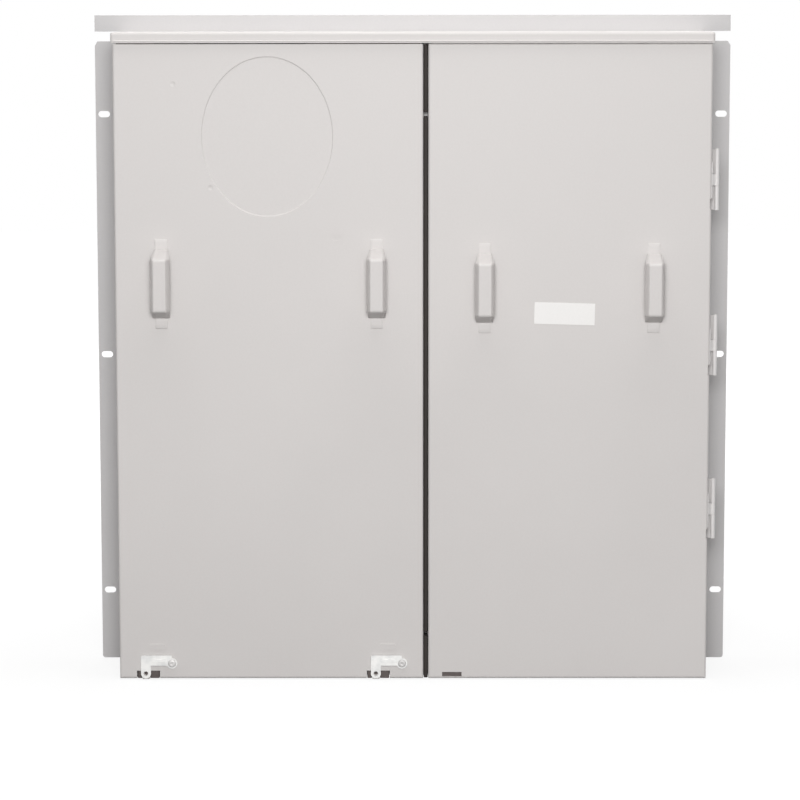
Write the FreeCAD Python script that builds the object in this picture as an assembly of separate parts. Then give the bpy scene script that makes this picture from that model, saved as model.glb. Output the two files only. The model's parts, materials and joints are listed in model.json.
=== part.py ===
import FreeCAD, Part
import math
import os

# Electric meter box in folded sheet steel, with a lift-off meter cover and a hinged door.
# Sizes are in millimetres. X runs across the front, +Z is up and the front faces -Y.
# A depth, in a name that starts with D_, is counted backwards from the covers' front face.

# Sheet metal
SHEET = 1.5
BEND_RADIUS = 3.0
CORNER_RADIUS = 2.5

# Back panel with its fixing flanges
SIDE_FLANGE = 28.5
TOP_FLANGE = 18.0
EAR_RISE = 1.2
EAR_CHAMFER_X = 3.0
EAR_CHAMFER_Z = 5.0
SLOT_EDGE = 9.5
SLOT_LOWEST = 79.0
SLOT_DROP = 92.0
SLOT_LENGTH = 13.0
SLOT_WIDTH = 7.0

# Casing and roof
COVER_SPAN = 650.0
BODY_DEPTH = 116.0
ROOF_HEIGHT = 713.0
LIP_HEIGHT = 12.0
LIP_GAP = 1.0
HEM_RADIUS = 1.0
HEM_RISE = 2.0
HOOD_SIDE_GAP = 0.5
STIFFENER_WIDTH = 12.0
STIFFENER_END_GAP = 4.0
RELIEF_CLEARANCE = 2.0
RELIEF_TOP_HEIGHT = 21.5
RELIEF_BOTTOM_GAP = 3.5
KNOCKOUT_DEPTH = 62.0
KNOCKOUT_GROOVE = 0.5
KNOCKOUT_GROOVE_WIDTH = 1.2
KNOCKOUTS = ((90.0, 32.0), (175.0, 25.0), (250.0, 18.0))

# Gaps round the covers
RETURN_DEPTH = 20.0
RETURN_GAP = 1.5
COVER_STANDOFF = 1.0
COVER_BOTTOM = 0.6
CENTRE_GAP = 5.5
CENTRE_GAP_X = 14.25
DOOR_TOP_GAP = 0.6
PAN_TOP_GAP = 1.2
TONGUE_HEADROOM = 2.5
TONGUE_LAP = 9.0

# Partition and mullion between the two compartments
MULLION_WIDTH = 20.5
MULLION_GAP = 1.0
MULLION_LEG = 12.0
PARTITION_FOOT = 15.0
WINDOW_Z = 200.0
WINDOW_HEIGHT = 90.0
WINDOW_DEPTH = 50.0
WINDOW_RADIUS = 8.0
MULLION_SCREW_RISE = 50.0
MULLION_SCREW_DROP = 89.0
MULLION_SCREW_HEAD_RADIUS = 2.2
MULLION_SCREW_HEAD_HEIGHT = 1.4
MULLION_SCREW_RADIUS = 1.5

# Pressed outline and small marks on the meter cover
OUTLINE_INSET = 167.0
OUTLINE_DROP = 113.0
OUTLINE_HALF_WIDTH = 71.8
OUTLINE_HALF_HEIGHT = 86.9
OUTLINE_RECESS = 0.8
OUTLINE_SLOPE = 1.2
OUTLINE_THINNING = 0.4
DIMPLE_DEPTH = 0.5
DIMPLE_RADIUS = 3.0
DIMPLE_OFFSETS = ((-102.0, 57.0), (-62.0, -55.0))
OVAL_MARK_OFFSET = (75.0, -110.0)
OVAL_MARK_LENGTH = 11.0
OVAL_MARK_WIDTH = 5.0

# Pull handles
HANDLE_PROUD = 30.0
HANDLE_GRIP_WIDTH = 14.0
HANDLE_GRIP_HEIGHT = 55.0
HANDLE_WING_WIDTH = 21.2
HANDLE_WING_DEPTH = 12.0
HANDLE_LEG_RUN = 9.7
HANDLE_FOOT = 11.8
HANDLE_ROUND = 2.5
COVER_HANDLE_DROP = 273.1
DOOR_HANDLE_DROP = 278.0
COVER_HANDLE_INSETS = (50.4, 50.8)
DOOR_HANDLE_INSETS = (61.4, 62.0)

# Swinging latches on the meter cover and the tabs that take a seal
LATCH_FIRST_INSET = 58.0
LATCH_PITCH = 255.0
LATCH_Z = 18.0
LATCH_ARM = 29.0
LATCH_ARM_HEIGHT = 11.5
LATCH_ARM_RISE = 3.2
LATCH_THICKNESS = 1.5
LATCH_GAP = 1.2
LATCH_BOSS_RADIUS = 6.0
LATCH_TONGUE_WIDTH = 11.0
LATCH_RING_RADIUS = 5.5
LATCH_RING_Z = 6.5
LATCH_RING_HOLE = 2.6
LATCH_BEAD_HEIGHT = 3.6
LATCH_BEAD_PROUD = 0.8
RIVET_RADIUS = 2.5
RIVET_HEAD_RADIUS = 4.5
RIVET_HEAD_HEIGHT = 1.8
RIVET_CROWN_RADIUS = 2.5
RIVET_TAIL_RADIUS = 4.0
RIVET_TAIL_HEIGHT = 1.2
RIVET_END_PLAY = 0.1
RUNNING_CLEARANCE = 0.05
SEAL_TAB_WIDTH = 8.0
SEAL_TAB_HEIGHT = 9.0
SEAL_TAB_HOLE = 2.0
LATCH_NOTCH_WIDTH = 25.5
LATCH_NOTCH_HEIGHT = 8.8
LATCH_NOTCH_SHIFT = 2.7
PAD_WIDTH = 18.0
PAD_HEIGHT = 7.0
PAD_PROUD = 0.8
PAD_RADIUS = 2.0
PAD_Z = 36.0
PAD_SHIFT = 13.0

# Door, its hinges and its label
DOOR_SLOT_INSET = 15.4
DOOR_SLOT_WIDTH = 21.6
DOOR_SLOT_HEIGHT = 5.0
DOOR_SLOT_RISE = 2.2
HINGE_DROP = 343.0
HINGE_PITCH = 182.0
HINGE_OFFSET = 7.5
HINGE_LENGTH = 66.0
HINGE_MIDDLE_KNUCKLE = 13.0
HINGE_BARREL_RADIUS = 2.5
HINGE_PIN_RADIUS = 1.25
HINGE_PIN_HEAD_RADIUS = 2.2
HINGE_PIN_HEAD_HEIGHT = 1.0
HINGE_KNUCKLE_GAP = 0.3
HINGE_LEAF = 1.2
BODY_LEAF_WIDTH = 18.0
BODY_LEAF_SETBACK = 7.0
DOOR_LEAF_WIDTH = 10.0
DOOR_LEAF_HEIGHT = 38.0
DOOR_LEAF_SETBACK = 5.0
HINGE_NOTCH_WIDTH = 1.8
HINGE_NOTCH_HEIGHT = 11.0
HINGE_NOTCH_RISE = 2.0
LABEL_WIDTH = 66.0
LABEL_HEIGHT = 23.6
LABEL_THICKNESS = 0.2
LABEL_INSET = 149.0
LABEL_DROP = 306.0
LABEL_TILT = 1.5

# Meter socket behind the outline
BRACKET_HALF_WIDTH = 60.0
BRACKET_HEADROOM = 16.5
BRACKET_FOOT = 15.0
D_BRACKET_FRONT = 62.0
BASE_THICKNESS = 18.0
BASE_HALF_WIDTH = 56.0
BASE_RADIUS = 6.0
BASE_WINDOW_WIDTH = 36.0
BASE_WINDOW_HEIGHT = 60.0
BARRIER_THICKNESS = 4.0
BARRIER_PROUD = 18.0
BARRIER_GAP = 10.0
JAW_SPACING_X = 80.0
JAW_SPACING_Z = 76.0
JAW_LENGTH = 19.0
JAW_GAP = 2.5
JAW_LEAF = 1.6
JAW_PROUD = 24.0
JAW_FLARE = 3.0
JAW_FLARE_LENGTH = 7.0
STRAP_WIDTH = 16.0
STRAP_THICKNESS = 3.0
LUG_WIDTH = 20.0
LUG_DEPTH = 22.0
LUG_HEIGHT = 24.0
LUG_OFFSET_Z = 76.0
LUG_BORE_RADIUS = 7.0
LUG_SCREW_RADIUS = 4.5
SCREW_PROUD = 2.5
SCREW_SLOT_WIDTH = 1.2
SCREW_SLOT_DEPTH = 1.2

# Terminal bars for the neutral and ground wires
BAR_WIDTH = 16.0
BAR_DEPTH = 12.0
BAR_HEIGHT = 112.0
D_BAR_FRONT = 48.0
BAR_SCREWS = 6
BAR_SCREW_PITCH = 16.0
BAR_SCREW_RADIUS = 3.2
BAR_BORE_RADIUS = 3.0
BAR_POST_RADIUS = 6.0
BAR_POST_SPACING = 96.0
NEUTRAL_BAR_INSET = 63.0
GROUND_BAR_INSET = 43.0
GROUND_BAR_FALL = 15.0

# Breaker on its rail and mounting panel
BREAKER_INSET = 154.0
BREAKER_DROP = 198.0
MOUNTING_PANEL_WIDTH = 170.0
MOUNTING_PANEL_HEIGHT = 240.0
MOUNTING_PANEL_THICKNESS = 2.0
D_MOUNTING_PANEL = 70.0
POST_RADIUS = 5.0
POST_INSET = 15.0
NUT_RADIUS = 6.0
NUT_HEIGHT = 4.0
RAIL_LENGTH = 150.0
RAIL_WIDTH = 35.0
RAIL_CHANNEL_WIDTH = 27.0
RAIL_DEPTH = 7.5
BREAKER_WIDTH = 80.0
BREAKER_HEIGHT = 130.0
BREAKER_NOSE = 50.0
BREAKER_SHOULDER = 84.0
BREAKER_STEP = 8.0
BREAKER_CHAMFER = 4.0
D_BREAKER_FRONT = 18.0
D_BREAKER_BACK = 64.0
RAIL_FIT_GAP = 0.3
TOGGLE_DRUM_RADIUS = 13.0
TOGGLE_WIDTH = 24.0
TOGGLE_GAP = 0.4
TOGGLE_REACH = 24.0
TOGGLE_THICKNESS = 8.0
TOGGLE_SWING = 30.0
TOGGLE_SLOT_ANGLE = 52.0
TOGGLE_PIVOT_DEPTH = 12.0
TRUNNION_RADIUS = 3.0
TRUNNION_LENGTH = 4.0
POLE_SPACING = 40.0
BREAKER_LUG_WIDTH = 24.0
BREAKER_LUG_HEIGHT = 22.0
BREAKER_LUG_DEPTH = 20.0
BREAKER_LUG_BORE = 6.0
D_BREAKER_LUG = 40.0

# Places worked out from the sizes above
FRONT_Y = (HANDLE_PROUD - BODY_DEPTH) / 2
D_BACK = BODY_DEPTH - SHEET
D_WALL_FRONT = SHEET + COVER_STANDOFF
D_LIP_BACK = -LIP_GAP
D_LIP_FRONT = D_LIP_BACK - SHEET
D_RELIEF = RETURN_DEPTH + RELIEF_CLEARANCE
D_MULLION = RETURN_DEPTH + MULLION_GAP
HALF_COVER = COVER_SPAN / 2
WALL_OUT = HALF_COVER - SHEET - RETURN_GAP
WALL_IN = WALL_OUT - SHEET
HOOD_IN = HALF_COVER + HOOD_SIDE_GAP
HOOD_OUT = HOOD_IN + SHEET
ROOF_UNDERSIDE = ROOF_HEIGHT - SHEET
LIP_BOTTOM = ROOF_HEIGHT - LIP_HEIGHT
EAR_TOP = LIP_BOTTOM + EAR_RISE
COVER_LEFT = -HALF_COVER
COVER_RIGHT = CENTRE_GAP_X - CENTRE_GAP / 2
COVER_PAN_TOP = LIP_BOTTOM - PAN_TOP_GAP
COVER_TOP = ROOF_UNDERSIDE - TONGUE_HEADROOM
DOOR_LEFT = CENTRE_GAP_X + CENTRE_GAP / 2
DOOR_RIGHT = HALF_COVER
DOOR_TOP = LIP_BOTTOM - DOOR_TOP_GAP
PANEL_WIDTH = 2 * (HOOD_OUT + SIDE_FLANGE)
PANEL_HEIGHT = ROOF_HEIGHT + TOP_FLANGE
SLOT_X = PANEL_WIDTH / 2 - SLOT_EDGE
SLOT_HIGHEST = ROOF_HEIGHT - SLOT_DROP
SLOT_HEIGHTS = (SLOT_LOWEST, (SLOT_LOWEST + SLOT_HIGHEST) / 2, SLOT_HIGHEST)
MULLION_SCREW_HEIGHTS = (MULLION_SCREW_RISE, ROOF_HEIGHT - MULLION_SCREW_DROP)
OUTLINE_X = COVER_LEFT + OUTLINE_INSET
OUTLINE_Z = ROOF_HEIGHT - OUTLINE_DROP
BRACKET_HEIGHT = 2 * (ROOF_UNDERSIDE - BRACKET_HEADROOM - OUTLINE_Z)
COVER_HANDLE_Z = ROOF_HEIGHT - COVER_HANDLE_DROP
DOOR_HANDLE_Z = ROOF_HEIGHT - DOOR_HANDLE_DROP
LABEL_Z = ROOF_HEIGHT - LABEL_DROP
NEUTRAL_BAR_X = COVER_LEFT + NEUTRAL_BAR_INSET
NEUTRAL_BAR_Z = OUTLINE_Z
BREAKER_X = DOOR_RIGHT - BREAKER_INSET
BREAKER_Z = ROOF_HEIGHT - BREAKER_DROP
GROUND_BAR_X = DOOR_LEFT + GROUND_BAR_INSET
GROUND_BAR_Z = BREAKER_Z - GROUND_BAR_FALL
LATCH_PIVOTS = [COVER_LEFT + LATCH_FIRST_INSET + step * LATCH_PITCH for step in (0, 1)]
HINGE_X = HALF_COVER + HINGE_OFFSET
D_HINGE = RETURN_DEPTH
HINGE_MIDDLE_Z = ROOF_HEIGHT - HINGE_DROP
HINGE_HEIGHTS = [HINGE_MIDDLE_Z + step * HINGE_PITCH for step in (1, 0, -1)]
D_BASE_FRONT = D_BRACKET_FRONT - BASE_THICKNESS
D_STRAP_FRONT = D_BASE_FRONT - STRAP_THICKNESS
D_TOGGLE = D_BREAKER_FRONT + TOGGLE_PIVOT_DEPTH
D_RAIL_FRONT = D_MOUNTING_PANEL - RAIL_DEPTH


# Shape helpers: a plane names its two axes, and the third one is the direction of the solid

def point(plane, a, b, c):
    if plane == "xd":
        return FreeCAD.Vector(a, FRONT_Y + b, c)
    if plane == "dz":
        return FreeCAD.Vector(c, FRONT_Y + a, b)
    return FreeCAD.Vector(a, FRONT_Y + c, b)


def prism(plane, outline, low, high):
    corners = [point(plane, a, b, low) for a, b in outline]
    face = Part.Face(Part.makePolygon(corners + corners[:1]))
    return face.extrude(point(plane, 0, 0, high) - point(plane, 0, 0, low))


def rod(plane, a, b, radius, low, high):
    start = point(plane, a, b, low)
    end = point(plane, a, b, high)
    return Part.makeCylinder(radius, high - low, start, end - start)


def box(x0, x1, d0, d1, z0, z1):
    return Part.makeBox(x1 - x0, d1 - d0, z1 - z0, FreeCAD.Vector(x0, FRONT_Y + d0, z0))


def join(shapes):
    whole = shapes[0].fuse(shapes[1:]) if len(shapes) > 1 else shapes[0]
    return whole.removeSplitter()


def group(shapes):
    return Part.makeCompound(shapes)


def strip(plane, path, thickness, low, high):
    """A folded strip of sheet along a path, with round bends."""
    pieces = []
    for (a0, b0), (a1, b1) in zip(path, path[1:]):
        length = math.hypot(a1 - a0, b1 - b0)
        side_a = -(b1 - b0) / length * thickness / 2
        side_b = (a1 - a0) / length * thickness / 2
        corners = [(a0 + side_a, b0 + side_b), (a1 + side_a, b1 + side_b)]
        corners += [(a1 - side_a, b1 - side_b), (a0 - side_a, b0 - side_b)]
        pieces.append(prism(plane, corners, low, high))
    for a, b in path[1:-1]:
        pieces.append(rod(plane, a, b, thickness / 2, low, high))
    return join(pieces)


def obround(x, z, length, width, d0, d1):
    """A slot shape that lies along X, through the sheet."""
    half = (length - width) / 2
    middle = box(x - half, x + half, d0, d1, z - width / 2, z + width / 2)
    ends = [rod("xz", x + side * half, z, width / 2, d0, d1) for side in (-1, 1)]
    return join([middle] + ends)


def edge_is_along(edge, axis):
    if len(edge.Vertexes) != 2:
        return False
    run = edge.Vertexes[1].Point - edge.Vertexes[0].Point
    return abs(abs(run.normalize().dot(axis)) - 1) < 1e-6


def rounded(shape, radius, wanted):
    """Round the edges that the test picks."""
    edges = [edge for edge in shape.Edges if wanted(edge)]
    return shape.makeFillet(radius, edges)


X_AXIS = FreeCAD.Vector(1, 0, 0)
Y_AXIS = FreeCAD.Vector(0, 1, 0)
Z_AXIS = FreeCAD.Vector(0, 0, 1)


# Casing: back panel, wrap, roof, partition and mullion

def make_back_panel():
    half = PANEL_WIDTH / 2
    panel = box(-half, half, D_BACK, BODY_DEPTH, 0, PANEL_HEIGHT)
    for side in (-1, 1):
        inner, outer = sorted((side * HOOD_OUT, side * (half + 1)))
        panel = panel.cut(box(inner, outer, D_BACK - 1, BODY_DEPTH + 1, EAR_TOP, ROOF_HEIGHT))
        corner = [(side * half, EAR_TOP), (side * (half - EAR_CHAMFER_X), EAR_TOP)]
        corner.append((side * half, EAR_TOP - EAR_CHAMFER_Z))
        panel = panel.cut(prism("xz", corner, D_BACK - 1, BODY_DEPTH + 1))
        for z in SLOT_HEIGHTS:
            panel = panel.cut(obround(side * SLOT_X, z, SLOT_LENGTH, SLOT_WIDTH, D_BACK - 1, BODY_DEPTH + 1))
    return rounded(panel, BEND_RADIUS, lambda edge: edge_is_along(edge, Y_AXIS)
                   and edge.CenterOfMass.z < 1e-6)


def make_casing():
    outer = box(-WALL_OUT, WALL_OUT, D_WALL_FRONT, D_BACK, 0, ROOF_UNDERSIDE)
    inner = box(-WALL_IN, WALL_IN, D_WALL_FRONT - 1, D_BACK + 1, SHEET, ROOF_UNDERSIDE + 1)
    outer = rounded(outer, BEND_RADIUS, lambda edge: edge_is_along(edge, Y_AXIS)
                    and edge.CenterOfMass.z < 1e-6)
    inner = rounded(inner, BEND_RADIUS - SHEET, lambda edge: edge_is_along(edge, Y_AXIS)
                    and edge.CenterOfMass.z < SHEET + 1e-6)
    casing = outer.cut(inner)
    relief_top = ROOF_UNDERSIDE - RELIEF_TOP_HEIGHT
    relief_bottom = COVER_BOTTOM + SHEET + RELIEF_BOTTOM_GAP
    wide = WALL_OUT + 1
    casing = casing.cut(box(-wide, wide, D_WALL_FRONT - 1, D_RELIEF, relief_top, ROOF_UNDERSIDE + 1))
    casing = casing.cut(box(-wide, wide, D_WALL_FRONT - 1, D_RELIEF, -1, relief_bottom))
    extras = []
    for side in (-1, 1):
        x0, x1 = sorted((side * (WALL_OUT - STIFFENER_WIDTH), side * WALL_OUT))
        low = relief_bottom + STIFFENER_END_GAP
        high = relief_top - STIFFENER_END_GAP
        extras.append(box(x0, x1, D_WALL_FRONT, D_WALL_FRONT + SHEET, low, high))
    extras += [make_seal_tab(pivot - LATCH_ARM) for pivot in LATCH_PIVOTS]
    casing = join([casing] + extras)
    for inset, radius in KNOCKOUTS:
        for x in (inset - HALF_COVER, HALF_COVER - inset):
            casing = casing.cut(make_knockout_groove(x, radius))
    return casing


def make_seal_tab(x):
    """A tongue of the bottom wall that passes through the cover's notch and turns up in front."""
    half = SEAL_TAB_WIDTH / 2
    tongue = box(x - half, x + half, 0, D_RELIEF + SHEET, 0, SHEET)
    tab = box(x - half, x + half, 0, SHEET, 0, SEAL_TAB_HEIGHT)
    return join([tongue, tab]).cut(rod("xz", x, LATCH_RING_Z, SEAL_TAB_HOLE, -1, SHEET + 1))


def make_knockout_groove(x, radius):
    ring = rod("xd", x, KNOCKOUT_DEPTH, radius, -1, KNOCKOUT_GROOVE)
    return ring.cut(rod("xd", x, KNOCKOUT_DEPTH, radius - KNOCKOUT_GROOVE_WIDTH, -2, KNOCKOUT_GROOVE + 1))


def make_roof_hood():
    outer = box(-HOOD_OUT, HOOD_OUT, D_LIP_FRONT, D_BACK, LIP_BOTTOM, ROOF_HEIGHT)
    inner = box(-HOOD_IN, HOOD_IN, D_LIP_BACK, D_BACK + 1, LIP_BOTTOM - 1, ROOF_UNDERSIDE)
    hood = fold_corners(outer, BEND_RADIUS, ROOF_HEIGHT, D_BACK)
    hood = hood.cut(fold_corners(inner, BEND_RADIUS - SHEET, ROOF_UNDERSIDE, D_BACK + 1))
    hem_end = HOOD_OUT - BEND_RADIUS
    hem = rod("dz", D_LIP_FRONT, LIP_BOTTOM + HEM_RISE, HEM_RADIUS, -hem_end, hem_end)
    return join([hood, hem])


def fold_corners(block, radius, top, back):
    """Round a hood's top edges and front corners, and leave its open back square."""
    back_y = FRONT_Y + back

    def wanted(edge):
        centre = edge.CenterOfMass
        if abs(centre.y - back_y) < 1e-6:
            return False
        return abs(centre.z - top) < 1e-6 or edge_is_along(edge, Z_AXIS)
    return rounded(block, radius, wanted)


def make_partition():
    half = SHEET / 2
    x = CENTRE_GAP_X
    wall = box(x - half, x + half, D_MULLION + SHEET, D_BACK, SHEET, ROOF_UNDERSIDE)
    foot = box(x - half, x + PARTITION_FOOT, D_BACK - SHEET, D_BACK, SHEET, ROOF_UNDERSIDE)
    middle = (D_MULLION + D_BACK) / 2
    window = box(x - 2, x + 2, middle - WINDOW_DEPTH / 2, middle + WINDOW_DEPTH / 2,
                 WINDOW_Z - WINDOW_HEIGHT / 2, WINDOW_Z + WINDOW_HEIGHT / 2)
    window = rounded(window, WINDOW_RADIUS, lambda edge: edge_is_along(edge, X_AXIS))
    return join([wall, foot]).cut(window)


def make_mullion():
    half = MULLION_WIDTH / 2
    x = CENTRE_GAP_X
    web = box(x - half, x + half, D_MULLION, D_MULLION + SHEET, SHEET, ROOF_UNDERSIDE)
    leg = box(x + SHEET / 2, x + SHEET * 3 / 2, D_MULLION, D_MULLION + MULLION_LEG, SHEET, ROOF_UNDERSIDE)
    mullion = join([web, leg])
    for z in MULLION_SCREW_HEIGHTS:
        mullion = mullion.cut(rod("xz", x, z, MULLION_SCREW_RADIUS, D_MULLION - 1, D_MULLION + SHEET))
    return mullion


def make_mullion_screws():
    screws = []
    for z in MULLION_SCREW_HEIGHTS:
        head_front = D_MULLION - MULLION_SCREW_HEAD_HEIGHT
        head = rod("xz", CENTRE_GAP_X, z, MULLION_SCREW_HEAD_RADIUS, head_front, D_MULLION)
        shank = rod("xz", CENTRE_GAP_X, z, MULLION_SCREW_RADIUS, D_MULLION, D_MULLION + SHEET)
        screws.append(join([head, shank]))
    return group(screws)


# Covers: the lift-off meter cover and the hinged door

def make_pan(left, right, top, closed_top):
    """A shallow folded pan, open at the back and, for a lift-off cover, at the top."""
    bottom = COVER_BOTTOM
    inner_top = top - SHEET if closed_top else top + 1
    outer = box(left, right, 0, RETURN_DEPTH, bottom, top)
    inner = box(left + SHEET, right - SHEET, SHEET, RETURN_DEPTH + 1, bottom + SHEET, inner_top)
    outer = round_front(outer, CORNER_RADIUS, 0, top, closed_top)
    inner = round_front(inner, CORNER_RADIUS - SHEET, SHEET, inner_top, closed_top)
    return outer.cut(inner)


def round_front(block, radius, front, top, with_top):
    front_y = FRONT_Y + front

    def wanted(edge):
        centre = edge.CenterOfMass
        if abs(centre.y - front_y) > 1e-6:
            return False
        return with_top or abs(centre.z - top) > 1e-6
    return rounded(block, radius, wanted)


def make_meter_cover():
    cover = make_pan(COVER_LEFT, COVER_RIGHT, COVER_PAN_TOP, False)
    inset = CORNER_RADIUS
    tongue = box(COVER_LEFT + inset, COVER_RIGHT - inset, SHEET, 2 * SHEET,
                 COVER_PAN_TOP - TONGUE_LAP, COVER_TOP)
    pads = [make_pad(pivot - LATCH_ARM + PAD_SHIFT) for pivot in LATCH_PIVOTS]
    cover = join([cover, tongue, make_outline_boss()] + pads)
    cover = cover.cut(make_outline_recess())
    for dx, dz in DIMPLE_OFFSETS:
        cover = cover.cut(make_dimple(OUTLINE_X + dx, OUTLINE_Z + dz))
    mark_x = OUTLINE_X + OVAL_MARK_OFFSET[0]
    mark_z = OUTLINE_Z + OVAL_MARK_OFFSET[1]
    cover = cover.cut(obround(mark_x, mark_z, OVAL_MARK_LENGTH, OVAL_MARK_WIDTH, -1, DIMPLE_DEPTH))
    for pivot in LATCH_PIVOTS:
        middle = pivot - LATCH_ARM + LATCH_NOTCH_SHIFT
        cover = cover.cut(make_bottom_notch(middle, LATCH_NOTCH_WIDTH, LATCH_NOTCH_HEIGHT))
        cover = cover.cut(rod("xz", pivot, LATCH_Z, RIVET_RADIUS, -1, SHEET + 1))
    return cover


def ellipse_wire(half_width, half_height, depth):
    centre = point("xz", OUTLINE_X, OUTLINE_Z, depth)
    top = centre + Z_AXIS * half_height
    side = centre + X_AXIS * half_width
    return Part.Wire(Part.Ellipse(top, side, centre).toShape())


def make_outline_recess():
    front = ellipse_wire(OUTLINE_HALF_WIDTH, OUTLINE_HALF_HEIGHT, 0)
    floor = ellipse_wire(OUTLINE_HALF_WIDTH - OUTLINE_SLOPE, OUTLINE_HALF_HEIGHT - OUTLINE_SLOPE,
                         OUTLINE_RECESS)
    return Part.makeLoft([front, floor], True, True)


def make_outline_boss():
    root = ellipse_wire(OUTLINE_HALF_WIDTH + OUTLINE_THINNING, OUTLINE_HALF_HEIGHT + OUTLINE_THINNING, SHEET)
    inset = OUTLINE_SLOPE - OUTLINE_THINNING
    crown = ellipse_wire(OUTLINE_HALF_WIDTH - inset, OUTLINE_HALF_HEIGHT - inset, SHEET + OUTLINE_RECESS)
    return Part.makeLoft([root, crown], True, True)


def make_dimple(x, z):
    radius = (DIMPLE_RADIUS ** 2 + DIMPLE_DEPTH ** 2) / (2 * DIMPLE_DEPTH)
    return Part.makeSphere(radius, point("xz", x, z, DIMPLE_DEPTH - radius))


def make_pad(x):
    half_x = PAD_WIDTH / 2
    half_z = PAD_HEIGHT / 2
    pad = box(x - half_x, x + half_x, -PAD_PROUD, SHEET / 2, PAD_Z - half_z, PAD_Z + half_z)
    return rounded(pad, PAD_RADIUS, lambda edge: edge_is_along(edge, Y_AXIS))


def make_bottom_notch(middle, width, height):
    half = width / 2
    return box(middle - half, middle + half, -1, RETURN_DEPTH + 1, COVER_BOTTOM - 1, COVER_BOTTOM + height)


def make_door():
    door = make_pan(DOOR_LEFT, DOOR_RIGHT, DOOR_TOP, True)
    slot_left = DOOR_LEFT + DOOR_SLOT_INSET
    slot_bottom = COVER_BOTTOM + DOOR_SLOT_RISE
    door = door.cut(box(slot_left, slot_left + DOOR_SLOT_WIDTH, -1, SHEET + 1,
                        slot_bottom, slot_bottom + DOOR_SLOT_HEIGHT))
    for z in HINGE_HEIGHTS:
        low = z - HINGE_LENGTH / 2 + HINGE_NOTCH_RISE
        notch = box(DOOR_RIGHT - HINGE_NOTCH_WIDTH, DOOR_RIGHT + 1, -1, RETURN_DEPTH + 1,
                    low, low + HINGE_NOTCH_HEIGHT)
        door = door.cut(notch)
    return door


def make_label():
    x = DOOR_LEFT + LABEL_INSET
    label = box(x - LABEL_WIDTH / 2, x + LABEL_WIDTH / 2, -LABEL_THICKNESS, 0,
                LABEL_Z - LABEL_HEIGHT / 2, LABEL_Z + LABEL_HEIGHT / 2)
    label.rotate(point("xz", x, LABEL_Z, 0), Y_AXIS, LABEL_TILT)
    return label


def make_handle(x, z):
    """A pressed pull handle: a hollow grip with sloping sides on two legs with feet."""
    shell = grip_block(x, z, 0, 0)
    shell = rounded(shell, HANDLE_ROUND, lambda edge: edge_is_front_of_grip(edge))
    shell = shell.cut(grip_block(x, z, SHEET, 1))
    half = HANDLE_GRIP_WIDTH / 2
    legs = []
    for side in (-1, 1):
        grip_end = HANDLE_GRIP_HEIGHT / 2
        slope = HANDLE_LEG_RUN / HANDLE_PROUD
        wing_end = grip_end + slope * HANDLE_WING_DEPTH
        foot_start = grip_end + HANDLE_LEG_RUN
        thick = SHEET / 2
        path = [(HANDLE_WING_DEPTH - HANDLE_PROUD - thick, z + side * (wing_end - 2 * thick))]
        path.append((-thick, z + side * (foot_start - thick)))
        path.append((-thick, z + side * (foot_start + HANDLE_FOOT)))
        legs.append(strip("dz", path, SHEET, x - half, x + half))
    return join([shell] + legs)


def edge_is_front_of_grip(edge):
    return abs(edge.CenterOfMass.y - (FRONT_Y - HANDLE_PROUD)) < 1e-6


def grip_block(x, z, inset, overrun):
    """The grip's outer block, or with an inset the hollow inside it."""
    slope = HANDLE_LEG_RUN / HANDLE_PROUD
    flare = (HANDLE_WING_WIDTH - HANDLE_GRIP_WIDTH) / 2 / HANDLE_WING_DEPTH
    sections = []
    for run in (inset, HANDLE_WING_DEPTH + overrun):
        half_x = HANDLE_GRIP_WIDTH / 2 + flare * run - inset
        half_z = HANDLE_GRIP_HEIGHT / 2 + slope * run - inset
        depth = run - HANDLE_PROUD
        corners = [point("xz", x + sx * half_x, z + sz * half_z, depth)
                   for sx, sz in ((-1, -1), (1, -1), (1, 1), (-1, 1))]
        sections.append(Part.makePolygon(corners + corners[:1]))
    return Part.makeLoft(sections, True, True)


# Latches and rivets

def make_latch(pivot):
    """A flat arm on a rivet, with a tongue that hangs over the seal tab and ends in a ring."""
    back = -LATCH_GAP
    front = back - LATCH_THICKNESS
    tongue_x = pivot - LATCH_ARM
    half = LATCH_TONGUE_WIDTH / 2
    low = LATCH_Z + LATCH_ARM_RISE - LATCH_ARM_HEIGHT / 2
    high = low + LATCH_ARM_HEIGHT
    boss = rod("xz", pivot, LATCH_Z, LATCH_BOSS_RADIUS, front, back)
    arm = box(tongue_x - half, pivot, front, back, low, high)
    arm = rounded(arm, PAD_RADIUS, lambda edge: edge_is_along(edge, Y_AXIS)
                  and edge.CenterOfMass.x < tongue_x and edge.CenterOfMass.z > LATCH_Z + 1)
    tongue = box(tongue_x - half, tongue_x + half, front, back, LATCH_RING_Z, LATCH_Z)
    ring = rod("xz", tongue_x, LATCH_RING_Z, LATCH_RING_RADIUS, front, back)
    bead_x = (tongue_x + pivot) / 2
    bead_length = LATCH_ARM - LATCH_TONGUE_WIDTH
    bead = obround(bead_x, (low + high) / 2, bead_length, LATCH_BEAD_HEIGHT,
                   front - LATCH_BEAD_PROUD, front)
    latch = join([boss, arm, tongue, ring, bead])
    latch = latch.cut(rod("xz", pivot, LATCH_Z, RIVET_RADIUS + RUNNING_CLEARANCE, front - 2, back + 1))
    head_clearance = rod("xz", pivot, LATCH_Z, RIVET_HEAD_RADIUS + 2 * RIVET_END_PLAY, front - 2, front)
    latch = latch.cut(head_clearance)
    return latch.cut(rod("xz", tongue_x, LATCH_RING_Z, LATCH_RING_HOLE, front - 1, back + 1))


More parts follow.
